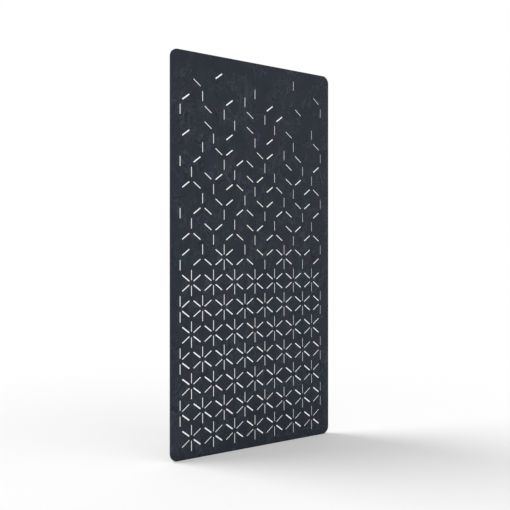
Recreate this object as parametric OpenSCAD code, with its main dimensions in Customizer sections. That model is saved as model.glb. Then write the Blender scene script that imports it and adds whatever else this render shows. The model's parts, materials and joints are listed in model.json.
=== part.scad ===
// Acoustic divider screen: one sheet of pressed felt, slotted in a lattice of stars that thins out
// towards the top, held upright by a slim tube frame and a weighted base that hide behind it.
// The sheet stands in the XZ plane with its front to -Y. The origin is the middle of its lower edge.

/* [Felt sheet] */
// Width of the felt sheet
sheet_w = 1200; // [900:10:1500]
// Height of the felt sheet
sheet_h = 2400; // [1900:10:3000]
// Thickness of the felt
sheet_t = 9; // [6:0.5:24]
// Radius of the sheet's four corners
corner_r = 48; // [10:1:80]

/* [Slot pattern] */
// Rows of whole stars under the thinned rows
full_rows = 7; // [1:1:9]
// Width of one slot
slot_w = 10; // [6:0.5:13]
// Felt left between the centre of a star and the near end of each slot
bridge_l = 16; // [12:0.5:22]
// Felt between the sheet's side and the centre of the outermost stars
side_margin = 66.6; // [50:0.1:90]
// Felt between the sheet's lower edge and the centres of the lowest stars
foot_margin = 121.8; // [100:0.1:160]
// Felt between the centres of the highest stars and the sheet's upper edge
head_margin = 147.6; // [100:0.1:200]
// Share of the row pitch that the upright arm of a star takes up
upright_share = 0.617; // [0.5:0.001:0.74]

/* [Rear frame] */
// Width of the frame tube, across the sheet
tube_w = 20; // [16:0.5:30]
// Depth of the frame tube, behind the sheet
tube_d = 15; // [12:0.5:25]
// Wall of the frame tube
tube_wall = 1.5; // [1:0.1:2]
// Outer corner radius of the frame tube
tube_r = 2; // [1.6:0.1:3]
// Distance from the side of the sheet to the frame
frame_inset = 16; // [5:0.5:30]
// Distance from the top of the sheet to the frame
frame_drop = 28; // [5:0.5:60]
// Length of a corner joint's spigot inside its tube
spigot_l = 40; // [25:1:60]
// Clearance all round a spigot in its tube
spigot_gap = 0.15; // [0.05:0.05:0.3]
// Width of the hook tape that grips the felt
tape_w = 16; // [10:0.5:19]
// Thickness of the hook tape
tape_t = 2; // [1:0.1:3]

/* [Base] */
// Distance from the side of the sheet to the base plate
base_inset = 60; // [45:1:100]
// Depth of the base plate between its two legs
base_d = 104; // [95:1:130]
// Thickness of the base plate
base_t = 15; // [12:0.5:18]
// Gap under the base plate
base_lift = 2; // [1.5:0.5:3]
// Depth of the ramp that the plate's top ends in at the rear
ramp_w = 30; // [15:1:36]
// Thickness that the ramp leaves at the rear edge
ramp_edge = 5.5; // [3:0.5:8]
// Corner radius of the base plate
base_r = 10; // [3:0.5:20]
// Width of a leg of the base plate
leg_w = 40; // [36:1:60]
// Distance between the centres of the two legs
leg_span = 644; // [400:1:900]
// Distance from the sheet's middle plane to the rear glides
leg_reach = 180; // [140:1:250]
// Distance from the side of the base plate to the ballast bar
ballast_inset = 20; // [10:1:40]
// Depth of the ballast bar, front to back
ballast_d = 50; // [44:1:60]
// Height of the ballast bar behind the frame
ballast_h = 16.5; // [14:0.5:20]
// Height of the ballast bar's rear edge
ballast_toe = 2.5; // [1:0.1:5]

/* [Levelling glides] */
// Diameter of a glide's threaded stem
stem_d = 8; // [6:0.5:10]
// Diameter of a glide's steel disc
disc_d = 24; // [18:0.5:26]
// Thickness of a glide's steel disc
disc_t = 2.5; // [2:0.1:3.5]
// Wall of the rubber sole round the disc
sole_wall = 3; // [2:0.1:3.5]
// Rubber under the steel disc
sole_t = 4.5; // [3:0.1:6]
// Travel of a glide below its stop
level_travel = 8; // [4:0.5:12]
// Radial clearance of a stem in its bore
stem_gap = 0.05; // [0.02:0.01:0.1]
// Width of a lock nut across its flats
nut_af = 13; // [12:0.5:17]
// Height of a lock nut
nut_h = 5; // [4:0.1:8]

/* [Screws] */
// Diameter of a base screw
base_screw_d = 6; // [4:0.5:7]
// Length of a base screw with its head
base_screw_l = 25; // [21:1:30]
// Screws along the base plate
base_screws_n = 5; // [3:1:7]
// Distance from the side of the base plate to its outermost screws
base_screw_inset = 60; // [50:1:80]
// Length of a ballast screw with its head
ballast_screw_l = 25; // [20:1:27]
// Diameter of a corner screw
corner_screw_d = 4; // [3:0.5:5]
// Length of a corner screw under its head
corner_screw_l = 9; // [7:0.5:10]

/* [Hidden] */
$fn = 64;

// Overrun of every cut past the face it starts from
cut = 1;
LEFT = -1;
RIGHT = 1;
BOTTOM = -1;
TOP = 1;

// The six arms of a star are lettered clockwise from the upright one: a up, b up right, c down right,
// d down, e down left, f up left. Each entry below is one star, left to right, with the arms it keeps.
WHOLE = "abcdef";
UPPER = "bdf";
LOWER = "ace";
THINNED_ROWS = [
    ["bd", LOWER, WHOLE, LOWER, UPPER, WHOLE, UPPER, "ae"],
    [LOWER, UPPER, LOWER, UPPER, LOWER, UPPER, LOWER],
    ["d", LOWER, UPPER, LOWER, UPPER, LOWER, UPPER, "ae"],
    [LOWER, UPPER, LOWER, UPPER, LOWER, UPPER, LOWER],
    ["d", "ae", UPPER, "ce", UPPER, "ac", "df", "ae"],
    ["e", "df", "ae", "df", "ae", "df", "ac"],
    ["bd", "ac", "bd", "ac", "bd", "e", "f", "a"],
    ["c", "b", "", "d", "", "a", "c"]
];

// Star lattice
rows = full_rows + len(THINNED_ROWS);
columns = 2 * len(THINNED_ROWS[0]) - 1;
column_pitch = (sheet_w - 2 * side_margin) / (columns - 1);
row_pitch = (sheet_h - foot_margin - head_margin) / (rows - 1);
arm_up = upright_share * row_pitch;
arm_rise = row_pitch - arm_up;
ARMS = [
    ["a", [0, arm_up]], ["b", [column_pitch, arm_rise]], ["c", [column_pitch, -arm_rise]],
    ["d", [0, -arm_up]], ["e", [-column_pitch, -arm_rise]], ["f", [-column_pitch, arm_rise]]
];

// Glide heights, from the floor up: rubber, steel disc, pocket in the base plate, lock nut
glide_stop = sole_t + disc_t;
base_w = sheet_w - 2 * base_inset;
base_top = base_lift + base_t;
sole_lip = disc_t * 0.6;
stem_spare = stem_d / 6;
stem_top = base_top + nut_h + level_travel + stem_spare;
key_af = stem_d / 2;
glide_bore_r = stem_d / 2 + stem_gap;

// Frame outline and the planes behind the sheet
sheet_back = sheet_t / 2;
frame_front = sheet_back + tape_t;
frame_back = frame_front + tube_d;
frame_mid = frame_front + tube_d / 2;
frame_side = sheet_w / 2 - frame_inset;
frame_bottom = base_top;
frame_top = sheet_h - frame_drop;
stile_x = frame_side - tube_w / 2;
stile_l = frame_top - frame_bottom - 2 * tube_w;
stile_z = frame_bottom + tube_w;
rail_top_z = frame_top - tube_w / 2;
rail_bottom_z = frame_bottom + tube_w / 2;
block_r = tube_w / 4;
tube_inner_r = max(tube_r - tube_wall, tube_wall / 4);
rail_l = 2 * (frame_side - tube_w);

// Corner screws sit half way along each spigot
screw_along = spigot_l / 2;
corner_head_d = 1.9 * corner_screw_d;
corner_head_h = 0.6 * corner_screw_d;
screw_gap = 0.05;
pilot_spare = 0.5;
corner_pilot_l = corner_screw_l - tube_wall - spigot_gap + pilot_spare;

// Base screws and their rivet nuts
head_d = 2 * base_screw_d;
head_h = (head_d - base_screw_d) / 2;
key_d = 0.7 * base_screw_d;
key_h = 0.6 * head_h;
plate_hole_d = 1.1 * base_screw_d;
rivet_d = 1.5 * base_screw_d;
rivet_collar_d = 1.9 * base_screw_d;
rivet_collar_h = base_screw_d / 3;
rivet_l = tube_w - 2 * tube_wall - rivet_collar_h;
rivet_gap = 0.05;
base_screw_step = (base_w - 2 * base_screw_inset) / (base_screws_n - 1);
base_screw_x = [for (i = [0 : base_screws_n - 1]) i * base_screw_step + base_screw_inset - base_w / 2];

// Ballast bar, close behind the frame, with a well down to each front glide's lock nut
ballast_gap = 0.5;
ballast_front = frame_back + ballast_gap;
ballast_w = base_w - 2 * ballast_inset;
ballast_flat = ballast_toe * 1.6;
nut_corner_r = nut_af / sqrt(3);
nut_clear = 4;
well_r = nut_corner_r + nut_clear;
well_wall = 10;
ballast_pilot_l = ballast_screw_l - base_t + pilot_spare;

// Glides: the front pair stands in the wells, the rear pair at the ends of the legs
front_glide_y = ballast_front + well_wall + well_r;
glide_x = leg_span / 2;
sole_gap = 0.1;
sole_r = disc_d / 2 + sole_gap + sole_wall;
pocket_gap = 1;
pocket_r = sole_r + pocket_gap;
ballast_screw_x = [-glide_x - leg_w, -glide_x / 2, glide_x / 2, glide_x + leg_w];
ballast_screw_y = ballast_front + well_wall;
tread_step = sole_r / 4;
tread_w = sole_r / 12;
tread_h = sole_t / 6;
treads = 3;

// Star columns of one row: wide rows start at the sides, narrow rows lie between them
function wide(row) = (full_rows - row) % 2 == 0;
function star_columns(row) = [for (c = [wide(row) ? 0 : 1 : 2 : columns - 1]) c];
function star_arms(row, i) = row < full_rows ? WHOLE : THINNED_ROWS[row - full_rows][i];
function arm_of(letter) = ARMS[search([letter], ARMS)[0]][1];
function column_of(x) = round(x / column_pitch);
function inside(c, arm) = c + column_of(arm[0]) >= 0 && c + column_of(arm[0]) <= columns - 1;

module rounded_rect(size, r) {
    square([size[0] - 2 * r, size[1]], center = true);
    square([size[0], size[1] - 2 * r], center = true);
    for (x = [-1, 1], y = [-1, 1])
        translate([x * (size[0] / 2 - r), y * (size[1] / 2 - r)]) circle(r);
}

// Stands a flat outline up in the XZ plane, from y_front back by depth
module stand_up(y_front, depth) {
    translate([0, y_front + depth, 0]) rotate([90, 0, 0]) linear_extrude(depth) children();
}

// Clearance hole for a corner screw, drilled from the back of the frame through one wall of the tube
module corner_hole(x, z) {
    translate([x, frame_back + cut, z]) rotate([90, 0, 0])
        cylinder(d = corner_screw_d + 2 * screw_gap, h = tube_wall + 2 * cut);
}

module slot(centre, arm) {
    length = norm(arm) - 2 * bridge_l;
    translate(centre + arm / 2) rotate(atan2(arm[1], arm[0])) square([length, slot_w], center = true);
}

module star_slots() {
    for (row = [0 : rows - 1], i = [0 : len(star_columns(row)) - 1]) {
        c = star_columns(row)[i];
        centre = [side_margin - sheet_w / 2 + c * column_pitch, foot_margin + row * row_pitch];
        for (letter = star_arms(row, i)) {
            arm = arm_of(letter);
            if (inside(c, arm)) slot(centre, arm);
        }
    }
}

module felt_panel() {
    color([0.20, 0.21, 0.24]) stand_up(-sheet_t / 2, sheet_t) difference() {
        translate([0, sheet_h / 2]) rounded_rect([sheet_w, sheet_h], corner_r);
        star_slots();
    }
}

// Hook tape as long as the tube behind it, on the tube's front face
module tape_upright(side) {
    color([0.12, 0.12, 0.13]) translate([side * stile_x - tape_w / 2, sheet_back, stile_z])
        cube([tape_w, tape_t, stile_l]);
}

module tape_level(z) {
    color([0.12, 0.12, 0.13]) translate([-rail_l / 2, sheet_back, z - tape_w / 2])
        cube([rail_l, tape_t, tape_w]);
}

module tube_profile() {
    difference() {
        rounded_rect([tube_w, tube_d], tube_r);
        rounded_rect([tube_w - 2 * tube_wall, tube_d - 2 * tube_wall], tube_inner_r);
    }
}

module stile(side) {
    color([0.10, 0.10, 0.11]) difference() {
        translate([side * stile_x, frame_mid, stile_z]) linear_extrude(stile_l) tube_profile();
        for (z = [stile_z + screw_along, stile_z + stile_l - screw_along]) corner_hole(side * stile_x, z);
    }
}

module rail(z) {
    color([0.10, 0.10, 0.11]) difference() {
        translate([-rail_l / 2, frame_mid, z]) rotate([0, 90, 0]) linear_extrude(rail_l) tube_profile();
        for (side = [LEFT, RIGHT]) corner_hole(side * (rail_l / 2 - screw_along), z);
    }
}

// The lower rail is also bored from below for the rivet nuts
module bored_rail(z) {
    color([0.10, 0.10, 0.11]) difference() {
        rail(z);
        for (x = base_screw_x) translate([x, frame_mid, frame_bottom - cut])
            cylinder(d = rivet_d + 2 * rivet_gap, h = tube_wall + 2 * cut);
    }
}

// One spigot, pointing up from the corner block, with a chamfered tip and a pilot bore for its screw
module spigot() {
    w = tube_w - 2 * (tube_wall + spigot_gap);
    d = tube_d - 2 * (tube_wall + spigot_gap);
    tip = tube_wall;
    difference() {
        translate([0, d / 2, 0]) rotate([90, 0, 0]) linear_extrude(d)
            polygon([[-w / 2, 0], [w / 2, 0], [w / 2, spigot_l - tip], [w / 2 - tip, spigot_l],
                [tip - w / 2, spigot_l], [-w / 2, spigot_l - tip]]);
        translate([0, d / 2 + cut, screw_along]) rotate([90, 0, 0])
            cylinder(d = corner_screw_d + 2 * screw_gap, h = corner_pilot_l + cut);
    }
}

// Moulded corner: a block with a rounded outer corner and one spigot into each of its two tubes
module corner_joint(side, end) {
    color([0.07, 0.07, 0.08]) translate([side * stile_x, 0, end == TOP ? rail_top_z : rail_bottom_z]) {
        stand_up(frame_front, tube_d) {
            translate([-side * block_r / 2, 0]) square([tube_w - block_r, tube_w], center = true);
            translate([0, -end * block_r / 2]) square([tube_w, tube_w - block_r], center = true);
            translate([side * (tube_w / 2 - block_r), end * (tube_w / 2 - block_r)]) circle(block_r);
        }
        translate([0, frame_mid, -end * tube_w / 2]) mirror([0, 0, end == TOP ? 1 : 0]) spigot();
        translate([-side * tube_w / 2, frame_mid, 0]) rotate([0, -side * 90, 0]) spigot();
    }
}

module corner_screw(x, z) {
    translate([x, frame_back, z]) rotate([90, 0, 0]) {
        cylinder(d = corner_screw_d, h = corner_screw_l);
        difference() {
            mirror([0, 0, 1]) cylinder(d1 = corner_head_d, d2 = corner_head_d * 0.8, h = corner_head_h);
            translate([0, 0, -corner_head_h - cut])
                cylinder(d = corner_screw_d / 2, h = cut + corner_head_h / 2, $fn = 6);
        }
    }
}

module corner_screws() {
    color([0.55, 0.56, 0.58]) for (side = [LEFT, RIGHT]) {
        for (z = [stile_z + screw_along, stile_z + stile_l - screw_along]) corner_screw(side * stile_x, z);
        for (z = [rail_bottom_z, rail_top_z]) corner_screw(side * (rail_l / 2 - screw_along), z);
    }
}

// The plate's top slopes down to a thin rear edge, so that no step is left to trip on
module base_slab() {
    back = frame_front + base_d;
    fall = (base_t - ramp_edge) / ramp_w;
    difference() {
        translate([0, frame_front + base_d / 2]) linear_extrude(base_t)
            rounded_rect([base_w, base_d], base_r);
        translate([-base_w / 2 - cut, 0, 0]) rotate([90, 0, 90]) linear_extrude(base_w + 2 * cut)
            polygon([[back - ramp_w - cut / fall, base_t + cut], [back + cut, ramp_edge - fall * cut],
                [back + cut, base_t + cut]]);
    }
}

// A leg at full thickness, from under the plate to round its rear glide
module base_leg(side) {
    root = frame_front + base_d / 2;
    translate([side * glide_x, 0]) linear_extrude(base_t) {
        translate([-leg_w / 2, root]) square([leg_w, leg_reach - root]);
        translate([0, leg_reach]) circle(d = leg_w);
    }
}

// Hole for one countersunk screw, from the underside of the base plate
module countersink(x, y) {
    translate([x, y, base_lift]) {
        translate([0, 0, -cut]) cylinder(d = plate_hole_d, h = base_t + 2 * cut);
        translate([0, 0, -cut]) cylinder(d = head_d + 2 * screw_gap, h = cut);
        cylinder(d1 = head_d + 2 * screw_gap, d2 = base_screw_d + 2 * screw_gap, h = head_h);
    }
}

// The glides draw up into pockets in the plate's underside
module base_plate() {
    color([0.13, 0.13, 0.14]) difference() {
        translate([0, 0, base_lift]) {
            base_slab();
            for (side = [LEFT, RIGHT]) base_leg(side);
        }
        for (side = [LEFT, RIGHT], y = [front_glide_y, leg_reach]) translate([side * glide_x, y, 0]) {
            cylinder(r = glide_bore_r, h = base_top + cut);
            cylinder(r = pocket_r, h = glide_stop);
        }
        for (x = base_screw_x) countersink(x, frame_mid);
        for (x = ballast_screw_x) countersink(x, ballast_screw_y);
    }
}

module countersunk_screw(x, y, length) {
    translate([x, y, base_lift]) difference() {
        union() {
            cylinder(d1 = head_d, d2 = base_screw_d, h = head_h);
            cylinder(d = base_screw_d, h = length);
        }
        translate([0, 0, -cut]) cylinder(d = key_d, h = key_h + cut, $fn = 6);
    }
}

module base_screws() {
    color([0.55, 0.56, 0.58]) for (x = base_screw_x) countersunk_screw(x, frame_mid, base_screw_l);
}

// Cast bar whose top slopes down to the rear
module ballast_bar() {
    color([0.11, 0.11, 0.12]) difference() {
        translate([-ballast_w / 2, ballast_front, base_top]) rotate([90, 0, 90]) linear_extrude(ballast_w)
            polygon([[0, 0], [ballast_d, 0], [ballast_d, ballast_toe],
                [ballast_flat, ballast_h], [0, ballast_h]]);
        for (side = [LEFT, RIGHT]) translate([side * glide_x, front_glide_y, base_top - cut])
            cylinder(r = well_r, h = ballast_h + 2 * cut);
        for (x = ballast_screw_x) translate([x, ballast_screw_y, base_top - cut])
            cylinder(d = base_screw_d + 2 * screw_gap, h = ballast_pilot_l + cut);
    }
}

module ballast_screws() {
    color([0.55, 0.56, 0.58]) for (x = ballast_screw_x)
        countersunk_screw(x, ballast_screw_y, ballast_screw_l);
}

// Blind rivet nut: a sleeve through the tube's lower wall, with the collar that its setting raised
module rivet_nuts() {
    color([0.62, 0.62, 0.64]) for (x = base_screw_x) translate([x, frame_mid, frame_bottom]) difference() {
        union() {
            cylinder(d = rivet_d, h = rivet_l);
            translate([0, 0, tube_wall]) cylinder(d = rivet_collar_d, h = rivet_collar_h);
        }
        translate([0, 0, -cut]) cylinder(d = base_screw_d + 2 * screw_gap, h = rivet_l + 2 * cut);
    }
}

module lock_nuts() {
    color([0.62, 0.62, 0.64]) for (side = [LEFT, RIGHT], y = [front_glide_y, leg_reach])
        translate([side * glide_x, y, base_top]) difference() {
            cylinder(r = nut_corner_r, h = nut_h, $fn = 6);
            translate([0, 0, -cut]) cylinder(r = glide_bore_r, h = nut_h + 2 * cut);
        }
}

// Steel disc with a threaded stem, turned by a key in the top of the stem
module glide(side, y) {
    color([0.60, 0.61, 0.63]) translate([side * glide_x, y, sole_t]) difference() {
        union() {
            cylinder(d = disc_d, h = disc_t);
            cylinder(d = stem_d, h = stem_top - sole_t);
        }
        translate([0, 0, stem_top - sole_t - key_af]) cylinder(d = key_af, h = key_af + cut, $fn = 6);
    }
}

// Rubber sole: a shallow cup pressed up round the disc, with ring treads cut in its underside
module sole(side, y) {
    color([0.05, 0.05, 0.05]) translate([side * glide_x, y, 0]) difference() {
        cylinder(r = sole_r, h = sole_t + sole_lip);
        translate([0, 0, sole_t]) cylinder(r = disc_d / 2 + sole_gap, h = sole_lip + cut);
        for (i = [1 : treads]) translate([0, 0, -cut]) difference() {
            cylinder(r = i * tread_step + tread_w / 2, h = tread_h + cut);
            cylinder(r = i * tread_step - tread_w / 2, h = tread_h + cut);
        }
    }
}

felt_panel();
tape_upright(LEFT);  // tape_left
tape_upright(RIGHT);  // tape_right
tape_level(rail_top_z);  // tape_top
tape_level(rail_bottom_z);  // tape_bottom
stile(LEFT);  // left_stile
stile(RIGHT);  // right_stile
rail(rail_top_z);  // top_rail
bored_rail(rail_bottom_z);  // bottom_rail
corner_joint(LEFT, TOP);  // joint_top_left
corner_joint(RIGHT, TOP);  // joint_top_right
corner_joint(LEFT, BOTTOM);  // joint_bottom_left
corner_joint(RIGHT, BOTTOM);  // joint_bottom_right
corner_screws();
base_plate();
base_screws();
rivet_nuts();
ballast_bar();
ballast_screws();
lock_nuts();
glide(LEFT, front_glide_y);  // glide_front_left
glide(RIGHT, front_glide_y);  // glide_front_right
glide(LEFT, leg_reach);  // glide_rear_left
glide(RIGHT, leg_reach);  // glide_rear_right
sole(LEFT, front_glide_y);  // sole_front_left
sole(RIGHT, front_glide_y);  // sole_front_right
sole(LEFT, leg_reach);  // sole_rear_left
sole(RIGHT, leg_reach);  // sole_rear_right
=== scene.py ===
# %% [markdown]
# # Acoustic divider screen
#
# The real thing is one sheet of pressed felt, slotted in a lattice of stars, that stands on its edge.
# A slim black frame, a heavy base and four levelling glides hold it up from behind. This lesson dresses
# the construction model of that screen: it keeps every piece where it is, rounds the edges that a
# construction model leaves sharp, cuts real threads, and gives each piece the finish that it would have.

# %% Load the construction model
import json
import math

import bmesh
import bpy
from mathutils import Matrix, Vector

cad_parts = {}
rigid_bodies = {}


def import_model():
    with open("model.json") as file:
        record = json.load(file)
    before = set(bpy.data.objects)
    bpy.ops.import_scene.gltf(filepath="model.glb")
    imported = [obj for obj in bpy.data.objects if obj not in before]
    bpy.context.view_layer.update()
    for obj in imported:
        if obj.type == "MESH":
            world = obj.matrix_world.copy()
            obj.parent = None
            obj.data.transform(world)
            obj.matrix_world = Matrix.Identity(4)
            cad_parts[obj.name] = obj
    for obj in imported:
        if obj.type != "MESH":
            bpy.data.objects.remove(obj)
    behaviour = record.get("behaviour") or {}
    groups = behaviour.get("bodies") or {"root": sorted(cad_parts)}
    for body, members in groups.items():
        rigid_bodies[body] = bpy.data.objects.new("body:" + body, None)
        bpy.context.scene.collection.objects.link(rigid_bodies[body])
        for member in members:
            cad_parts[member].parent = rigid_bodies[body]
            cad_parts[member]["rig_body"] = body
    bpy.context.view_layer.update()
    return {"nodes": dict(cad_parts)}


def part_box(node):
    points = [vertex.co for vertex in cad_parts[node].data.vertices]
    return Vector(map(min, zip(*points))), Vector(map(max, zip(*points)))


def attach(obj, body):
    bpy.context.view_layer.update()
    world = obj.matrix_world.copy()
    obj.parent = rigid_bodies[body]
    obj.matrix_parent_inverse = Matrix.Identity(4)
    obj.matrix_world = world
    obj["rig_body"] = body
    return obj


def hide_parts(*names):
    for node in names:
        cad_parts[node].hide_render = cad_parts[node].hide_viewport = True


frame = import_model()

# %% [markdown]
# ## Places and sizes
#
# Reading the places means that a screen of another size would be dressed just as well.

# %% Sizes that the pieces share
MM = 0.001
JOIN = 0.01 * MM

sheet_low, sheet_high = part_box("felt_panel")
print("sheet, mm:", [round(x / MM, 1) for x in sheet_high - sheet_low])

# %% [markdown]
# ## A shorter way to write shaders
#
# A material is a net of nodes, and a net drawn in Python soon becomes unreadable. `Shade` wraps one
# output socket. Sums and products of shades add Math nodes by themselves, and the one method `node`
# makes any other node: first its settings, then the values or links of its inputs. The long way, a line
# for every node and another for every link, does the same and hides the sum that it stands for.
#
# A Mix node keeps one set of sockets for each kind of value, and they share their names. So the sockets
# of its colours are reached by number.


# %% Shade, a socket that can be added and multiplied
MIX_FACTOR = 0
MIX_FIRST, MIX_SECOND = 6, 7
MIX_COLOUR = 2


class Shade:
    def __init__(self, tree, socket=None):
        self.tree = tree
        self.socket = socket

    def node(self, kind, inputs, output=0, **settings):
        made = self.tree.nodes.new(kind)
        for name, value in settings.items():
            setattr(made, name, value)
        for name, value in inputs.items():
            if isinstance(value, Shade):
                self.tree.links.new(value.socket, made.inputs[name])
            else:
                made.inputs[name].default_value = value
        return Shade(self.tree, made.outputs[output])

    def math(self, operation, *values):
        return self.node("ShaderNodeMath", dict(enumerate(values)), operation=operation)

    def __add__(self, other):
        return self.math("ADD", self, other)

    def __sub__(self, other):
        return self.math("SUBTRACT", self, other)

    def __rsub__(self, other):
        return self.math("SUBTRACT", other, self)

    def __mul__(self, other):
        return self.math("MULTIPLY", self, other)

    def __abs__(self):
        return self.math("ABSOLUTE", self)

    __radd__ = __add__
    __rmul__ = __mul__

    def larger(self, other):
        return self.math("MAXIMUM", self, other)

    def between(self, low, high):
        """0 below low, 1 above high, and a smooth climb from one to the other."""
        inputs = {"Value": self, "From Min": low, "From Max": high}
        return self.node("ShaderNodeMapRange", inputs, interpolation_type="SMOOTHSTEP")

    def scaled(self, x, y, z):
        return self.node("ShaderNodeMapping", {"Vector": self, "Scale": (x, y, z)})

    def turned(self, degrees):
        """The coordinates turned about Y, in the plane of the screen."""
        inputs = {"Vector": self, "Rotation": (0, math.radians(degrees), 0)}
        return self.node("ShaderNodeMapping", inputs)

    def noise(self, scale, detail=2.0, distortion=0.0, output=0):
        inputs = {"Vector": self, "Scale": scale, "Detail": detail, "Distortion": distortion}
        return self.node("ShaderNodeTexNoise", inputs, output=output)

    def pushed(self, scale, reach):
        """The same coordinates, pushed about by a slow noise, so that a pattern laid on them curls."""
        push = self.noise(scale, output="Color")
        centred = self.node("ShaderNodeVectorMath", {0: push, 1: (0.5, 0.5, 0.5)}, operation="SUBTRACT")
        shift = self.node("ShaderNodeVectorMath", {0: centred, "Scale": reach}, operation="SCALE")
        return self.node("ShaderNodeVectorMath", {0: self, 1: shift}, operation="ADD")

    def mixed(self, first, second):
        """A colour that goes from first to second as this shade goes from 0 to 1."""
        inputs = {MIX_FACTOR: self, MIX_FIRST: first, MIX_SECOND: second}
        return self.node("ShaderNodeMix", inputs, output=MIX_COLOUR, data_type="RGBA")

    def lit(self, colour):
        """The colour made darker or lighter by this shade, where 1 leaves it as it is."""
        grey = self.node("ShaderNodeCombineColor", {"Red": self, "Green": self, "Blue": self})
        inputs = {MIX_FACTOR: 1.0, MIX_FIRST: colour, MIX_SECOND: grey}
        return self.node(
            "ShaderNodeMix", inputs, output=MIX_COLOUR, data_type="RGBA", blend_type="MULTIPLY",
        )


def screen_colour(red, green, blue):
    """A colour as a picture holds it, 0 to 255 a channel, turned to the linear values of a shader."""
    parts = [channel / 255 for channel in (red, green, blue)]
    linear = [p / 12.92 if p <= 0.04045 else ((p + 0.055) / 1.055) ** 2.4 for p in parts]
    return (*linear, 1.0)


# %% [markdown]
# ## Starting a finish
#
# All the finishes here begin the same way: a Principled shader, the object's own coordinates in metres,
# and uniform numbers typed straight on the shader's sockets. Only what really changes over the surface
# (colour, roughness, bump) is linked, so that the pattern can be baked and the rest stays a plain number.


# %% Begin a finish, and give it relief
PLAIN_SOCKETS = {
    "metallic": "Metallic", "specular": "Specular IOR Level",
    "sheen": "Sheen Weight", "sheen_roughness": "Sheen Roughness",
}


def begin_finish(name, **plain):
    finish = bpy.data.materials.new(name)
    finish.use_nodes = True
    shader = finish.node_tree.nodes["Principled BSDF"]
    for word, value in plain.items():
        shader.inputs[PLAIN_SOCKETS[word]].default_value = value
    place = Shade(finish.node_tree).node("ShaderNodeTexCoord", {}, output="Object")
    return finish, shader, place


def connect(shader, socket, shade):
    shade.tree.links.new(shade.socket, shader.inputs[socket])


def add_relief(shader, height, depth):
    bump = height.node("ShaderNodeBump", {"Height": height, "Distance": depth, "Strength": 1.0})
    connect(shader, "Normal", bump)


# %% [markdown]
# ## The felt
#
# Pressed polyester felt is a mat of fibres of several greys, carded, laid and needled flat. From a few
# metres away it reads as a soft cloud of slate that leans here towards green and there towards violet,
# with pale curled strands lying on it: bundles that the carding left whole. Close to, it is a grain of
# single fibres. So the pattern is built in the same order: slow patches of hue, clouds as wide as a hand,
# strands of two sizes, and the grain. A strand is where a noise crosses its middle value, which gives
# long curling lines, and a second noise keeps only some of them.
#
# A picture of felt could be laid over the sheet instead. It would repeat every few hand widths and blur
# close up, while a pattern worked out from noise does neither.

# %% Curled strands: the lines where a noise crosses its middle value, each with a painted shadow along one side
def strands(place, scale, thinness, kept):
    across, along = scale
    field = place.scaled(across, across, along).noise(1.0, detail=1.5, distortion=1.6) - 0.5
    line = (1.0 - abs(field) * thinness).between(0.0, 1.0)
    # The dark line beside each strand is painted shade: it stands in for the shadow that a raised strand
    # would cast.
    shadow = (1.0 - abs(field * thinness - 1.5)).between(0.0, 1.0)
    return (line - 0.5 * shadow) * place.noise(7.0, detail=1.0).between(kept, kept + 0.1)


# %% Single fibres: fine streaks that cross at three angles and bend as they go
FIBRE_ANGLES = (12, 71, -48)


def fibres(place, across, along):
    """The lightest of three crossing layers of streaks, from 0 to 1."""
    bent = place.pushed(along, 0.8 / along)
    first, second, third = (
        bent.turned(angle).scaled(across, across, along).noise(1.0, detail=2.0) for angle in FIBRE_ANGLES
    )
    return first.larger(second).larger(third).between(0.42, 0.78)


# %% The felt's face
def felt_face():
    finish, shader, place = begin_finish("felt_face", specular=0.12, sheen=0.04, sheen_roughness=0.5)
    swirl = place.pushed(3.2, 0.22)
    curl = swirl.pushed(11.0, 0.06)

    patch = swirl.noise(4.5, detail=2.0).between(0.36, 0.64)
    cloud = curl.scaled(10, 10, 7).noise(1.0, detail=3.0)
    coils = strands(curl, (11, 7), 22.0, 0.45)
    threads = strands(place.pushed(9.0, 0.09), (22, 13), 15.0, 0.44)
    flecks = fibres(place, 360, 50)
    grain = fibres(place, 1300, 150)
    # The strands bring their painted shadow with them, into the colour and into the bump.
    bundles_and_shadows = (0.5 * coils + 0.36 * threads) * (0.4 + 1.2 * flecks)

    base = patch.mixed(screen_colour(46, 54, 61), screen_colour(51, 53, 63))
    light = 0.49 + 0.44 * cloud + bundles_and_shadows + 0.28 * flecks + 0.34 * grain
    connect(shader, "Base Color", light.lit(base))
    connect(shader, "Roughness", 0.8 + 0.2 * grain)
    add_relief(shader, 0.5 * flecks + 0.4 * grain + 0.1 * bundles_and_shadows, 0.5 * MM)
    return finish


# %% [markdown]
# Where the cutter has gone through, the felt shows its layers end on. The cut ends of the fibres catch
# more light than the flattened face, so the walls of the slots and the rim of the sheet are paler, with
# fine lines that follow the sheet. With one finish for all, the slots would look printed on.


# %% The felt where it is cut
def felt_cut():
    finish, shader, place = begin_finish("felt_cut", specular=0.12, sheen=0.08, sheen_roughness=0.5)
    layers = place.scaled(90, 1500, 90).noise(1.0, detail=4.0, distortion=0.6)
    ends = place.scaled(1400, 1400, 1400).noise(1.0, detail=2.0)
    light = 0.62 + 0.45 * layers + 0.3 * ends
    connect(shader, "Base Color", light.lit(screen_colour(74, 77, 85)))
    connect(shader, "Roughness", 0.9 + 0.1 * ends)
    add_relief(shader, 0.6 * layers + 0.4 * ends, 0.4 * MM)
    return finish


# %% [markdown]
# ## Metals, nylon, rubber and tape
#
# The frame is drawn aluminium with black anodising: satin, with faint lines along the tube. The plate is
# powder coated, which leaves a fine orange-peel. The ballast bar is a casting under paint, pebbled and a
# little uneven. Nylon from a mould is dull, with a very fine grain over the marks of its flow. Zinc is
# pale and slightly clouded, and black oxide is a dark, patchy skin on steel. Rubber is matt and blooms in
# paler patches. Hook tape shows the yarns that it is woven from.
#
# Flat black would do from across a room. The grain is for whoever walks round the back, and one or two
# noises are enough for each. The tube's lines are a noise stretched along it, and the nylon's flow and
# the scratches in the zinc are stretched less, up the piece.


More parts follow.
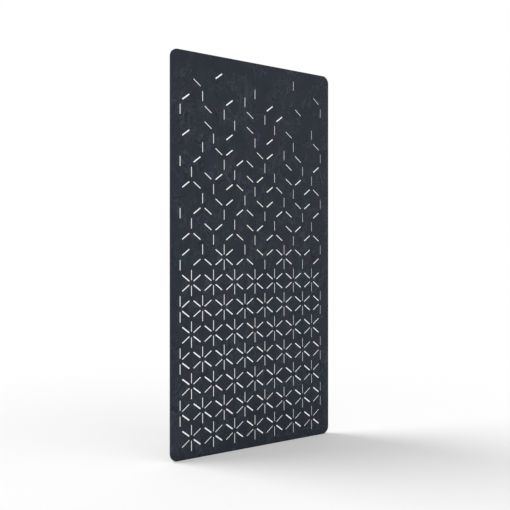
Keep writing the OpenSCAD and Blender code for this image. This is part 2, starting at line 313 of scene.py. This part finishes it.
# %% Black anodised tube, drawn along one axis
def anodised_tube(name, along):
    finish, shader, place = begin_finish(name, metallic=0.55, specular=0.5)
    stretch = [2600.0 if axis != along else 6.0 for axis in "xyz"]
    drawn = place.scaled(*stretch).noise(1.0, detail=3.0)
    cloud = place.noise(9.0, detail=3.0)
    light = 0.82 + 0.2 * drawn + 0.16 * cloud
    connect(shader, "Base Color", light.lit(screen_colour(44, 45, 48)))
    connect(shader, "Roughness", 0.34 + 0.12 * drawn + 0.08 * cloud)
    add_relief(shader, drawn, 0.02 * MM)
    return finish


# %% Powder coat, cast iron under paint, and moulded nylon
def powder_coat():
    finish, shader, place = begin_finish("powder_coat", specular=0.45)
    peel = place.noise(900.0, detail=2.0)
    cloud = place.noise(7.0, detail=3.0)
    light = 0.86 + 0.16 * peel + 0.14 * cloud
    connect(shader, "Base Color", light.lit(screen_colour(42, 43, 46)))
    connect(shader, "Roughness", 0.5 + 0.16 * peel + 0.06 * cloud)
    add_relief(shader, peel, 0.12 * MM)
    return finish


def painted_casting():
    finish, shader, place = begin_finish("painted_casting", specular=0.4)
    pebble = place.noise(260.0, detail=4.0, distortion=0.4)
    swell = place.noise(34.0, detail=2.0)
    light = 0.8 + 0.26 * pebble + 0.14 * swell
    connect(shader, "Base Color", light.lit(screen_colour(37, 38, 41)))
    connect(shader, "Roughness", 0.6 + 0.2 * pebble)
    add_relief(shader, 0.7 * pebble + 0.3 * swell, 0.5 * MM)
    return finish


def moulded_nylon():
    finish, shader, place = begin_finish("moulded_nylon", specular=0.4)
    grain = place.noise(1500.0, detail=2.0)
    flow = place.scaled(60, 60, 20).noise(1.0, detail=2.0, distortion=0.7)
    light = 0.86 + 0.14 * grain + 0.14 * flow
    connect(shader, "Base Color", light.lit(screen_colour(33, 33, 36)))
    connect(shader, "Roughness", 0.52 + 0.14 * grain)
    add_relief(shader, grain, 0.03 * MM)
    return finish


# %% Zinc plate, black oxide, rubber and hook tape
def zinc_plate():
    finish, shader, place = begin_finish("zinc_plate", metallic=1.0)
    cloud = place.noise(120.0, detail=4.0, distortion=0.5)
    scratch = place.scaled(3000, 3000, 260).noise(1.0, detail=2.0)
    light = 0.84 + 0.2 * cloud + 0.08 * scratch
    connect(shader, "Base Color", light.lit(screen_colour(196, 198, 203)))
    connect(shader, "Roughness", 0.26 + 0.2 * cloud + 0.06 * scratch)
    add_relief(shader, scratch, 0.01 * MM)
    return finish


def black_oxide():
    finish, shader, place = begin_finish("black_oxide", metallic=0.8)
    cloud = place.noise(260.0, detail=3.0)
    light = 0.8 + 0.4 * cloud
    connect(shader, "Base Color", light.lit(screen_colour(46, 46, 50)))
    connect(shader, "Roughness", 0.38 + 0.16 * cloud)
    add_relief(shader, cloud, 0.02 * MM)
    return finish


def black_rubber():
    finish, shader, place = begin_finish("black_rubber", specular=0.35)
    bloom = place.noise(150.0, detail=3.0)
    grain = place.noise(1800.0, detail=1.0)
    light = 0.8 + 0.3 * bloom + 0.1 * grain
    connect(shader, "Base Color", light.lit(screen_colour(34, 34, 35)))
    connect(shader, "Roughness", 0.72 + 0.16 * bloom)
    add_relief(shader, grain, 0.05 * MM)
    return finish


def woven_tape():
    finish, shader, place = begin_finish("woven_tape", sheen=0.2, sheen_roughness=0.4)
    yarn = place.scaled(1100, 1100, 1100).noise(1.0, detail=2.0, distortion=1.0)
    light = 0.7 + 0.5 * yarn
    connect(shader, "Base Color", light.lit(screen_colour(40, 40, 43)))
    connect(shader, "Roughness", 0.7 + 0.2 * yarn)
    add_relief(shader, yarn, 0.15 * MM)
    return finish


# %% Make the finishes
FELT_FACE = felt_face()
FELT_CUT = felt_cut()
TUBE_UPRIGHT = anodised_tube("anodised_upright", "z")
TUBE_LEVEL = anodised_tube("anodised_level", "x")
POWDER_COAT = powder_coat()
CASTING = painted_casting()
NYLON = moulded_nylon()
ZINC = zinc_plate()
BLACK_OXIDE = black_oxide()
RUBBER = black_rubber()
TAPE = woven_tape()
print("finishes made:", len(bpy.data.materials))

# %% [markdown]
# ## From a construction solid to a finished piece
#
# A construction model leaves every edge knife sharp, and real edges never are: they are what catches the
# light. `copy_of` takes a node's mesh, whose triangles come loose, and joins them up. `soften` bevels
# every edge that turns by more than 30 degrees. `finish_piece` turns the result into an object, hides
# the node that it stands for and makes it ride on that node's body. A Bevel modifier would round the edges
# as well, but with an operator the piece is finished at once, and its faces can be sorted by where they
# lie.


# %% Copy, soften and finish
CREASE = math.radians(50)
EDGE_TURN = math.radians(30)


def copy_of(node):
    shape = bmesh.new()
    shape.from_mesh(frame["nodes"][node].data)
    bmesh.ops.remove_doubles(shape, verts=shape.verts, dist=JOIN)
    return shape


def soften(shape, width, rounds=2):
    sharp = [
        edge for edge in shape.edges
        if len(edge.link_faces) == 2 and edge.calc_face_angle() > EDGE_TURN
    ]
    made = bmesh.ops.bevel(
        shape, geom=sharp, offset=width, offset_type="OFFSET", segments=rounds, profile=0.5,
        affect="EDGES", clamp_overlap=True, material=-1,
    )
    for face in made["faces"]:
        face.smooth = True


def finish_piece(shape, name, node, slot, *finishes):
    mesh = bpy.data.meshes.new(name)
    shape.to_mesh(mesh)
    shape.free()
    mesh.set_sharp_from_angle(angle=CREASE)
    for finish in finishes:
        mesh.materials.append(finish)
    piece = bpy.data.objects.new(name, mesh)
    bpy.context.scene.collection.objects.link(piece)
    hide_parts(node)
    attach(piece, frame["nodes"][node]["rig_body"])
    print(name, "faces:", len(mesh.polygons))
    return piece


# %% [markdown]
# ## The felt sheet
#
# The sheet is cut flat on a table by a knife or a router, and felt has no crisp arris: its rim is soft
# for about half a millimetre. The slots' walls and that soft rim take the paler finish of the cut felt,
# which a face can be given by looking at its normal, because the flat faces of the sheet point along Y.
#
# A knife leaves fibres standing in each slot, which makes it narrower to look through than it was cut.
# Thousands of single hairs could show that. Moving the walls in by the length of a hair looks the same
# from a step away, and costs nothing.

# %% Let the cut fibres stand out into the slots
SLOT_FREE = 50 * MM
WALL_LEAN = 0.5
SAME_WALL = 0.1


def in_a_slot(face):
    """True for a face that lies further in than the border of the sheet, which has no slots."""
    middle = face.calc_center_median()
    beside = sheet_high.x - abs(middle.x)
    beyond = min(middle.z - sheet_low.z, sheet_high.z - middle.z)
    return min(beside, beyond) > SLOT_FREE


def swell_slots(shape, proud):
    """Move each slot's walls inwards, and leave the sheet's own rim where it is."""
    shape.normal_update()
    moves = {}
    for face in shape.faces:
        if abs(face.normal.y) < WALL_LEAN and in_a_slot(face):
            for vert in face.verts:
                walls = moves.setdefault(vert, [])
                if all(face.normal.angle(wall) > SAME_WALL for wall in walls):
                    walls.append(face.normal.copy())
    for vert, walls in moves.items():
        vert.co += proud * sum(walls, Vector())
    return len(moves)


# %% Felt sheet
RIM = 0.6 * MM
FUZZ = 0.8 * MM
FLAT = 0.9
FACE, CUT = 0, 1

sheet = copy_of("felt_panel")
print("slot corners moved:", swell_slots(sheet, FUZZ))
soften(sheet, RIM)
for face in sheet.faces:
    face.material_index = FACE if abs(face.normal.y) > FLAT else CUT
finish_piece(sheet, "slotted_felt_sheet", "felt_panel", "felt", FELT_FACE, FELT_CUT)

# %% [markdown]
# ## Tubes, corners and base
#
# The tubes are drawn with rounded corners already, so the construction solids stay as they are and only
# take a finish. So do the rivet nuts, which lie inside the lower rail, where nobody sees them. The
# moulded corners, the plate and the casting need soft edges: half a millimetre on the nylon, a little
# more on the plate, which is ground before it is coated, and most on the casting.

# %% Finishes for the tubes and the rivet nuts, which keep their own mesh
for node, finish in {
    "left_stile": TUBE_UPRIGHT, "right_stile": TUBE_UPRIGHT,
    "top_rail": TUBE_LEVEL, "bottom_rail": TUBE_LEVEL, "rivet_nuts": ZINC,
}.items():
    mesh = frame["nodes"][node].data
    mesh.materials.clear()
    mesh.materials.append(finish)
    print(node, "takes", finish.name)

# %% Corner joints, base plate and ballast bar
NYLON_EDGE = 0.5 * MM
PLATE_EDGE = 0.8 * MM
CASTING_EDGE = 1.2 * MM

for node in ("joint_top_left", "joint_top_right", "joint_bottom_left", "joint_bottom_right"):
    corner = copy_of(node)
    soften(corner, NYLON_EDGE)
    finish_piece(corner, node + "_moulding", node, "joint_nylon", NYLON)

plate = copy_of("base_plate")
soften(plate, PLATE_EDGE)
finish_piece(plate, "coated_base_plate", "base_plate", "base_paint", POWDER_COAT)

ballast = copy_of("ballast_bar")
soften(ballast, CASTING_EDGE, rounds=3)
finish_piece(ballast, "cast_ballast_bar", "ballast_bar", "ballast_iron", CASTING)

# %% [markdown]
# ## Turned and threaded parts
#
# The glides, soles, nuts and screws are small, but they are what a hand finds when the screen is set up.
# A few helpers make them all. `turn` spins a profile round the Z axis, as a lathe does. `cut_thread` spins
# the profile of one tooth up a helix and trims it to length. `press_key` sinks a hexagon for a key.
# `close_at` fills whatever lies open at one height, rings included, and `settle` merges what meets, so
# that every part ends up as one closed skin.
#
# A Screw modifier winds threads too, but it has to be applied before its ends can be trimmed and closed.
# A thread could also be drawn with a bump, and would then have a smooth outline, which gives it away.

# %% Lathe, thread, key and closing
TURN_STEPS = 36
THREAD_STEPS = 24
TOOTH_SHARES = ((0, 1), (5 / 16, 0), (7 / 16, 0), (12 / 16, 1), (1, 1))
TOOTH_DEPTH_SHARE = 0.61
LEVEL_FACE = 0.98


def draw_profile(shape, points):
    """A chain of edges through points given as (radius, height), in the XZ plane."""
    verts = [shape.verts.new((radius, 0, height)) for radius, height in points]
    return verts + [shape.edges.new(pair) for pair in zip(verts, verts[1:])]


def turn(shape, points, steps=TURN_STEPS):
    bmesh.ops.spin(
        shape, geom=draw_profile(shape, points), cent=(0, 0, 0), axis=(0, 0, 1),
        angle=2 * math.pi, steps=steps, use_merge=True,
    )
    bmesh.ops.remove_doubles(shape, verts=shape.verts, dist=JOIN)


def cut_thread(shape, radius, pitch, low, high):
    """Every tooth starts where the last one ends, so the turns join up when their doubles are merged."""
    thread = bmesh.new()
    tooth = [
        (radius - deep * TOOTH_DEPTH_SHARE * pitch, low + (up - 1) * pitch) for up, deep in TOOTH_SHARES
    ]
    turns = math.ceil((high - low) / pitch) + 2
    bmesh.ops.spin(
        thread, geom=draw_profile(thread, tooth), cent=(0, 0, 0), axis=(0, 0, 1),
        dvec=(0, 0, pitch / THREAD_STEPS), angle=2 * math.pi * turns, steps=THREAD_STEPS * turns,
    )
    bmesh.ops.remove_doubles(thread, verts=thread.verts, dist=JOIN)
    for height, way in ((low, -1), (high, 1)):
        bmesh.ops.bisect_plane(
            thread, geom=thread.verts[:] + thread.edges[:] + thread.faces[:], dist=JOIN / 10,
            plane_co=(0, 0, height), plane_no=(0, 0, way), clear_outer=True,
        )
    mesh = bpy.data.meshes.new("thread")
    thread.to_mesh(mesh)
    thread.free()
    shape.from_mesh(mesh)
    bpy.data.meshes.remove(mesh)


def press_key(shape, across_flats, top, bottom):
    corner = across_flats / math.sqrt(3)
    ring = bmesh.ops.create_circle(shape, cap_ends=False, radius=corner, segments=6)["verts"]
    bmesh.ops.translate(shape, verts=ring, vec=(0, 0, top))
    rim = {edge for vert in ring for edge in vert.link_edges}
    walls = bmesh.ops.extrude_edge_only(shape, edges=list(rim))["geom"]
    deep = [part for part in walls if isinstance(part, bmesh.types.BMVert)]
    bmesh.ops.translate(shape, verts=deep, vec=(0, 0, bottom - top))


def close_at(shape, *heights):
    for height in heights:
        open_edges = [
            edge for edge in shape.edges
            if edge.is_boundary and all(abs(vert.co.z - height) < JOIN for vert in edge.verts)
        ]
        bmesh.ops.triangle_fill(shape, edges=open_edges, use_beauty=True)


def settle(shape):
    """Merge what meets, turn every face outwards, and shade the round walls smooth and the ends flat."""
    bmesh.ops.remove_doubles(shape, verts=shape.verts, dist=JOIN / 4)
    bmesh.ops.recalc_face_normals(shape, faces=shape.faces)
    for face in shape.faces:
        face.smooth = abs(face.normal.z) < LEVEL_FACE
    print("open edges left:", sum(not edge.is_manifold for edge in shape.edges))
    return shape


# %% Where a node's separate solids are, and copies of one shape at several places
def solids_of(node):
    """The lowest and highest corner of each separate solid of a node, from left to right."""
    shape = copy_of(node)
    waiting = set(shape.verts)
    boxes = []
    while waiting:
        front = [waiting.pop()]
        found = []
        while front:
            vert = front.pop()
            found.append(vert.co.copy())
            near = {edge.other_vert(vert) for edge in vert.link_edges} & waiting
            waiting -= near
            front.extend(near)
        low = Vector(min(co[axis] for co in found) for axis in range(3))
        high = Vector(max(co[axis] for co in found) for axis in range(3))
        boxes.append((low, high))
    shape.free()
    return sorted(boxes, key=lambda box: tuple(box[0]))


def repeat(shape, moves):
    """One bmesh with a copy of the shape for each matrix. The shape itself is used up."""
    mesh = bpy.data.meshes.new("one")
    shape.to_mesh(mesh)
    shape.free()
    whole = bmesh.new()
    for move in moves:
        turned = mesh.copy()
        turned.transform(move)
        whole.from_mesh(turned)
        bpy.data.meshes.remove(turned)
    bpy.data.meshes.remove(mesh)
    return whole


# %% [markdown]
# ## Levelling glides
#
# A glide is a zinc-plated steel disc pressed and welded to a length of M8 rod. The rod's end is chamfered
# so that it starts easily in its thread, and has a hexagon for a key, because the screen is levelled from
# above. Disc, weld and rod are one mesh, so that no gap can show between them.

# %% Steel disc and threaded stem
STEM_RADIUS = 4 * MM
STEM_PITCH = 1.25 * MM
STEM_KEY = 3.46 * MM
STEM_KEY_DEPTH = 4 * MM
STEM_CHAMFER = 0.8 * MM
DISC_THICKNESS = 2.5 * MM
DISC_CHAMFER = 0.3 * MM
COLLAR = 0.2 * MM
WELD = 0.6 * MM


def levelling_glide(node):
    low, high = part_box(node)
    radius = (high.x - low.x) / 2
    top = high.z - low.z
    weld_top = DISC_THICKNESS + WELD
    collar = STEM_RADIUS + COLLAR
    shape = bmesh.new()
    turn(shape, (
        (0, 0), (radius - DISC_CHAMFER, 0), (radius, DISC_CHAMFER),
        (radius, DISC_THICKNESS - DISC_CHAMFER), (radius - DISC_CHAMFER, DISC_THICKNESS),
        (collar + WELD, DISC_THICKNESS), (collar + WELD / 4, DISC_THICKNESS + WELD / 3), (collar, weld_top),
    ))
    cut_thread(shape, STEM_RADIUS, STEM_PITCH, weld_top, top)
    for vert in shape.verts:
        chamfered = STEM_RADIUS - max(0, vert.co.z - (top - STEM_CHAMFER))
        if vert.co.z > weld_top and vert.co.xy.length > chamfered:
            vert.co.xy = vert.co.xy.normalized() * chamfered
    press_key(shape, STEM_KEY, top, top - STEM_KEY_DEPTH)
    close_at(shape, weld_top, top, top - STEM_KEY_DEPTH)
    middle = (low + high) / 2
    bmesh.ops.translate(shape, verts=shape.verts, vec=(middle.x, middle.y, low.z))
    return settle(shape)


CORNERS = ("front_left", "front_right", "rear_left", "rear_right")
for corner in CORNERS:
    glide = levelling_glide("glide_" + corner)
    finish_piece(glide, "threaded_glide_" + corner, "glide_" + corner, "glide_steel", ZINC)

# %% [markdown]
# ## Rubber soles
#
# The sole is a rubber cup pressed up round the disc, with ring treads under it that grip a smooth floor.
# Everything about it is round, so it is one profile and one turn, with more steps than the steel parts
# have, because a soft edge shows its corners sooner.

# %% Rubber soles
SOLE_STEPS = 48
CUP_RADIUS = 12.1 * MM
CUP_FLOOR = 4.5 * MM
TREADS = 3
TREAD_DEPTH = 0.75 * MM
RUBBER_ROUND = 0.5 * MM


def rubber_sole(node):
    low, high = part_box(node)
    radius = (high.x - low.x) / 2
    height = high.z - low.z
    step, half = radius / 4, radius / 24
    points = [(0, 0)]
    for ring in range(1, TREADS + 1):
        inner, outer = ring * step - half, ring * step + half
        points += [(inner - half / 3, 0), (inner, TREAD_DEPTH), (outer, TREAD_DEPTH), (outer + half / 3, 0)]
    points += [
        (radius - 2 * RUBBER_ROUND, 0), (radius - RUBBER_ROUND / 2, RUBBER_ROUND / 2),
        (radius, 2 * RUBBER_ROUND), (radius - RUBBER_ROUND / 2, height / 2),
        (radius - RUBBER_ROUND / 3, height - RUBBER_ROUND), (radius - RUBBER_ROUND, height),
        (CUP_RADIUS + RUBBER_ROUND, height), (CUP_RADIUS, height - RUBBER_ROUND),
        (CUP_RADIUS, CUP_FLOOR), (0, CUP_FLOOR),
    ]
    shape = bmesh.new()
    turn(shape, points, steps=SOLE_STEPS)
    middle = (low + high) / 2
    bmesh.ops.translate(shape, verts=shape.verts, vec=(middle.x, middle.y, low.z))
    return settle(shape)


for corner in CORNERS:
    sole = rubber_sole("sole_" + corner)
    finish_piece(sole, "rubber_sole_" + corner, "sole_" + corner, "sole_rubber", RUBBER)

# %% [markdown]
# ## Lock nuts
#
# A nut is hexagon bar with its corners turned off at 30 degrees, which leaves the curved facets that
# everyone knows. So its rings are laid out round the axis: each corner lies further out than the middle
# of a flat, and the chamfer sinks there by as much as a 30 degree cone does.

# %% Chamfered hexagon nuts
NUT_STEPS = 36
NUT_FLATS = 13 * MM
NUT_FACE_SHARE = 0.97
BORE_RADIUS = 4.05 * MM
BORE_CHAMFER = 0.5 * MM
NUT_CHAMFER = math.radians(30)


def hexagon_reach(vert):
    """How far out the hexagon lies in a vert's direction, with a corner at every sixth of a turn."""
    sixth = math.radians(60)
    turned = math.atan2(vert.co.y, vert.co.x) % sixth
    return NUT_FLATS / 2 / math.cos(turned - sixth / 2)


def lock_nut(height):
    face = NUT_FACE_SHARE * NUT_FLATS / 2
    shape = bmesh.new()
    turn(shape, (
        (face, height), (BORE_RADIUS + BORE_CHAMFER, height), (BORE_RADIUS, height - BORE_CHAMFER),
        (BORE_RADIUS, BORE_CHAMFER), (BORE_RADIUS + BORE_CHAMFER, 0), (face, 0),
    ), steps=NUT_STEPS)
    edge_ring = [e for e in shape.edges if e.is_boundary and e.verts[0].co.z > height / 2]
    for base, way, reach in ((height, -1, hexagon_reach), (0, 1, hexagon_reach), (0, 0, lambda vert: face)):
        made = bmesh.ops.extrude_edge_only(shape, edges=edge_ring)["geom"]
        ring = {part for part in made if isinstance(part, bmesh.types.BMVert)}
        for vert in ring:
            out = reach(vert)
            vert.co.xy = vert.co.xy.normalized() * out
            vert.co.z = base + way * (out - face) * math.tan(NUT_CHAMFER)
        edge_ring = [e for e in shape.edges if e.verts[0] in ring and e.verts[1] in ring]
    return settle(shape)


nut_boxes = solids_of("lock_nuts")
nuts = repeat(lock_nut(nut_boxes[0][1].z - nut_boxes[0][0].z), [
    Matrix.Translation(((low.x + high.x) / 2, (low.y + high.y) / 2, low.z)) for low, high in nut_boxes
])
finish_piece(nuts, "chamfered_lock_nuts", "lock_nuts", "zinc_steel", ZINC)

# %% [markdown]
# ## Screws
#
# Three sets of screws hold the screen together, and all are drawn the same way: the head's outer face at
# height 0, the shank above it. The countersunk heads lie flush in the plate's underside, and the button
# heads stand a little proud of the frame's back. Each set has its screw made once and copied to its
# places, which are read from the construction solids.

# %% A socket screw from its head's profile
NECK = 0.1 * MM


def socket_screw(head, key, key_depth, radius, pitch, length):
    shape = bmesh.new()
    neck_height = head[-1][1]
    turn(shape, head)
    cut_thread(shape, radius, pitch, neck_height, length)
    press_key(shape, key, 0, key_depth)
    close_at(shape, 0, key_depth, neck_height, length)
    return settle(shape)


# %% Countersunk screws under the plate
HEAD_RIM = 0.25 * MM
COUNTERSUNK_KEY = 4 * MM
COUNTERSUNK_KEY_DEPTH = 1.8 * MM
COUNTERSUNK_PITCH = 1.0 * MM


def countersunk_screw(box):
    low, high = box
    out = (high.x - low.x) / 2
    shank = out / 2
    head = ((out - HEAD_RIM, 0), (out, HEAD_RIM), (shank + NECK, out - shank))
    length = high.z - low.z
    return socket_screw(
        head, COUNTERSUNK_KEY, COUNTERSUNK_KEY_DEPTH, shank, COUNTERSUNK_PITCH, length,
    )


for node in ("base_screws", "ballast_screws"):
    boxes = solids_of(node)
    screws = repeat(countersunk_screw(boxes[0]), [
        Matrix.Translation(((low.x + high.x) / 2, (low.y + high.y) / 2, low.z)) for low, high in boxes
    ])
    finish_piece(screws, "countersunk_" + node, node, "zinc_steel", ZINC)

# %% Button-head screws at the corners of the frame
BUTTON_SHARES = ((0.5, 0), (0.66, 0.06), (0.82, 0.2), (0.93, 0.42), (0.99, 0.7), (1, 1))
BUTTON_THICKNESS_SHARE = 1.2
BUTTON_KEY = 2.5 * MM
BUTTON_KEY_DEPTH = 1.3 * MM
CORNER_SHANK = 2 * MM
CORNER_PITCH = 0.7 * MM


def button_screw(box):
    low, high = box
    out = (high.x - low.x) / 2
    thick = BUTTON_THICKNESS_SHARE * CORNER_SHANK
    head = [(out * reach, thick * height) for reach, height in BUTTON_SHARES]
    head.append((CORNER_SHANK + NECK, thick))
    length = high.y - low.y
    return socket_screw(head, BUTTON_KEY, BUTTON_KEY_DEPTH, CORNER_SHANK, CORNER_PITCH, length)


corner_boxes = solids_of("corner_screws")
into_frame = Matrix.Rotation(math.radians(90), 4, "X")
screws = repeat(button_screw(corner_boxes[0]), [
    Matrix.Translation(((low.x + high.x) / 2, high.y, (low.z + high.z) / 2)) @ into_frame
    for low, high in corner_boxes
])
finish_piece(screws, "button_head_corner_screws", "corner_screws", "black_screw", BLACK_OXIDE)

# %% [markdown]
# ## Hook tape
#
# Felt is all loops, so the tape needs only hooks: small mushrooms that push in between the fibres. There
# are thousands, so each is turned with six sides and four rings, one row is built across the tape, and
# the row is repeated along it. A bump pattern would be lighter still, and flat where the tape shows its
# edge.

# %% Hook tape
HOOK_PITCH = 3.2 * MM
HOOK_HEAD = 0.5 * MM
HOOK_SIDES = 6
STRIP = 0.9 * MM
SELVEDGE = 0.9 * MM
HOOK_SHARES = ((0, 0), (0.62, 0), (0.4, 0.55), (1, 0.72), (0.72, 0.94), (0, 1))


def hook_tape(node):
    low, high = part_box(node)
    size = high - low
    upright = size.z > size.x
    along, across = (size.z, size.x) if upright else (size.x, size.z)
    reach = size.y - STRIP

    hook = bmesh.new()
    turn(hook, [(out * HOOK_HEAD, up * reach) for out, up in HOOK_SHARES], steps=HOOK_SIDES)
    settle(hook)
    columns = int((across - 2 * SELVEDGE) / HOOK_PITCH)
    rows = int((along - 2 * SELVEDGE) / HOOK_PITCH)
    forwards = Matrix.Rotation(math.radians(90), 4, "X")
    row = repeat(hook, [
        Matrix.Translation(((i - (columns - 1) / 2) * HOOK_PITCH, size.y / 2 - STRIP, 0)) @ forwards
        for i in range(columns)
    ])
    tape = repeat(row, [Matrix.Translation((0, 0, (i - (rows - 1) / 2) * HOOK_PITCH)) for i in range(rows)])
    print(node, "hooks:", rows * columns)

    strip = bmesh.new()
    bmesh.ops.create_cube(strip, size=1)
    bmesh.ops.scale(strip, verts=strip.verts, vec=(across, STRIP, along))
    bmesh.ops.translate(strip, verts=strip.verts, vec=(0, (size.y - STRIP) / 2, 0))
    soften(strip, STRIP / 4)
    strip_mesh = bpy.data.meshes.new("strip")
    strip.to_mesh(strip_mesh)
    strip.free()
    tape.from_mesh(strip_mesh)
    bpy.data.meshes.remove(strip_mesh)

    lie = Matrix.Rotation(0 if upright else math.radians(90), 4, "Y")
    tape.transform(Matrix.Translation((low + high) / 2) @ lie)
    return tape


for side in ("left", "right", "top", "bottom"):
    finish_piece(hook_tape("tape_" + side), "hook_tape_" + side, "tape_" + side, "hook_tape", TAPE)

# %% [markdown]
# ## Floor and light
#
# The screen stands on a seamless pale floor. The main light is large and soft and comes from behind its
# left side, so the shadow falls forward and to the right; the front is lit by a weak fill and the pale
# room. The floor is lifted a little near the screen and turns plain white further off, so that it keeps
# its shadow and has no horizon. Only the camera and reflections see that lift.
#
# A stronger lamp would whiten the floor too, and wash out the felt with it.

# %% Floor
FLOOR_HALF = 60.0
FLOOR_COLOUR = (0.9, 0.9, 0.9, 1)
WHITE = (1, 1, 1, 1)
SHADOW_REACH = (1.6, 4.2)
SHADOW_LIFT = 0.25
DIRECT_RAYS = ("Is Camera Ray", "Is Glossy Ray", "Is Transmission Ray")


def seen_directly(shade):
    """1 for a ray that the camera or a polished or clear surface sends out, 0 for the light on a thing."""
    camera_ray, glossy_ray, clear_ray = (
        shade.node("ShaderNodeLightPath", {}, output=kind) for kind in DIRECT_RAYS
    )
    return camera_ray.larger(glossy_ray).larger(clear_ray)


def pale_floor():
    finish, shader, place = begin_finish("pale_floor", specular=0.0)
    tree = finish.node_tree
    shader.inputs["Base Color"].default_value = FLOOR_COLOUR
    grain = place.noise(3.0, detail=3.0)
    connect(shader, "Roughness", 0.85 + 0.1 * grain)
    distance = place.node("ShaderNodeVectorMath", {0: place}, output="Value", operation="LENGTH")
    white_share = SHADOW_LIFT + (1.0 - SHADOW_LIFT) * distance.between(*SHADOW_REACH)
    glow = place.node("ShaderNodeEmission", {"Color": WHITE, "Strength": 1.0})
    matt = Shade(tree, shader.outputs[0])
    share = white_share * seen_directly(place)
    mixed = place.node("ShaderNodeMixShader", {0: share, 1: matt, 2: glow})
    tree.links.new(mixed.socket, tree.nodes["Material Output"].inputs["Surface"])
    return finish


floor_shape = bmesh.new()
bmesh.ops.create_grid(floor_shape, x_segments=1, y_segments=1, size=FLOOR_HALF)
floor_mesh = bpy.data.meshes.new("floor")
floor_shape.to_mesh(floor_mesh)
floor_shape.free()
floor_mesh.materials.append(pale_floor())
floor = bpy.data.objects.new("floor", floor_mesh)
bpy.context.scene.collection.objects.link(floor)
print("floor, metres across:", 2 * FLOOR_HALF)

# %% Room light: even and pale, and plain white where the camera or a polished surface sees it
ROOM_LIGHT = 0.5

room = bpy.data.worlds.new("pale_room")
room.use_nodes = True
background = room.node_tree.nodes["Background"]
background.inputs["Color"].default_value = WHITE
strength = ROOM_LIGHT + (1.0 - ROOM_LIGHT) * seen_directly(Shade(room.node_tree))
connect(background, "Strength", strength)
bpy.context.scene.world = room
print("room light:", ROOM_LIGHT)


# %% Main light and fill
def add_sun(name, travel, strength, spread_degrees):
    """A sun whose light travels along a vector. A wide spread makes its shadows soft."""
    light = bpy.data.lights.new(name, "SUN")
    light.energy = strength
    light.angle = math.radians(spread_degrees)
    sun = bpy.data.objects.new(name, light)
    sun.rotation_mode = "QUATERNION"
    sun.rotation_quaternion = Vector(travel).to_track_quat("-Z", "Y")
    bpy.context.scene.collection.objects.link(sun)
    print(name, "strength:", strength, "spread, degrees:", spread_degrees)


MAIN_HEIGHT = math.radians(49)
MAIN_WAY_X, MAIN_WAY_Y = 0.697, -0.7165
MAIN_LEVEL = math.cos(MAIN_HEIGHT)
MAIN_TRAVEL = (MAIN_WAY_X * MAIN_LEVEL, MAIN_WAY_Y * MAIN_LEVEL, -math.sin(MAIN_HEIGHT))
FILL_TRAVEL = (-0.35, 0.8, -0.5)
add_sun("main_light", MAIN_TRAVEL, strength=2.1, spread_degrees=38)
add_sun("fill_light", FILL_TRAVEL, strength=0.57, spread_degrees=60)

# %% [markdown]
# ## Camera
#
# The photograph was solved by its perspective: a 50 mm lens, level, half way up the screen, with the
# sheet turned 35 degrees from it. Level matters: with no tilt the sheet's sides stay upright.

# %% Camera
LENS = 50
SENSOR = 36
CAMERA_PLACE = (-2.544, -3.6376, 1.2)
CAMERA_TURN = math.radians(-34.968)
LEVEL_VIEW = math.radians(90)

camera_data = bpy.data.cameras.new("camera")
camera_data.lens = LENS
camera_data.sensor_width = SENSOR
camera = bpy.data.objects.new("camera", camera_data)
camera.location = CAMERA_PLACE
camera.rotation_euler = (LEVEL_VIEW, 0, CAMERA_TURN)
bpy.context.scene.collection.objects.link(camera)
bpy.context.scene.camera = camera
bpy.context.scene.view_settings.view_transform = "Standard"
print("lens, mm:", LENS, "camera at, metres:", CAMERA_PLACE)
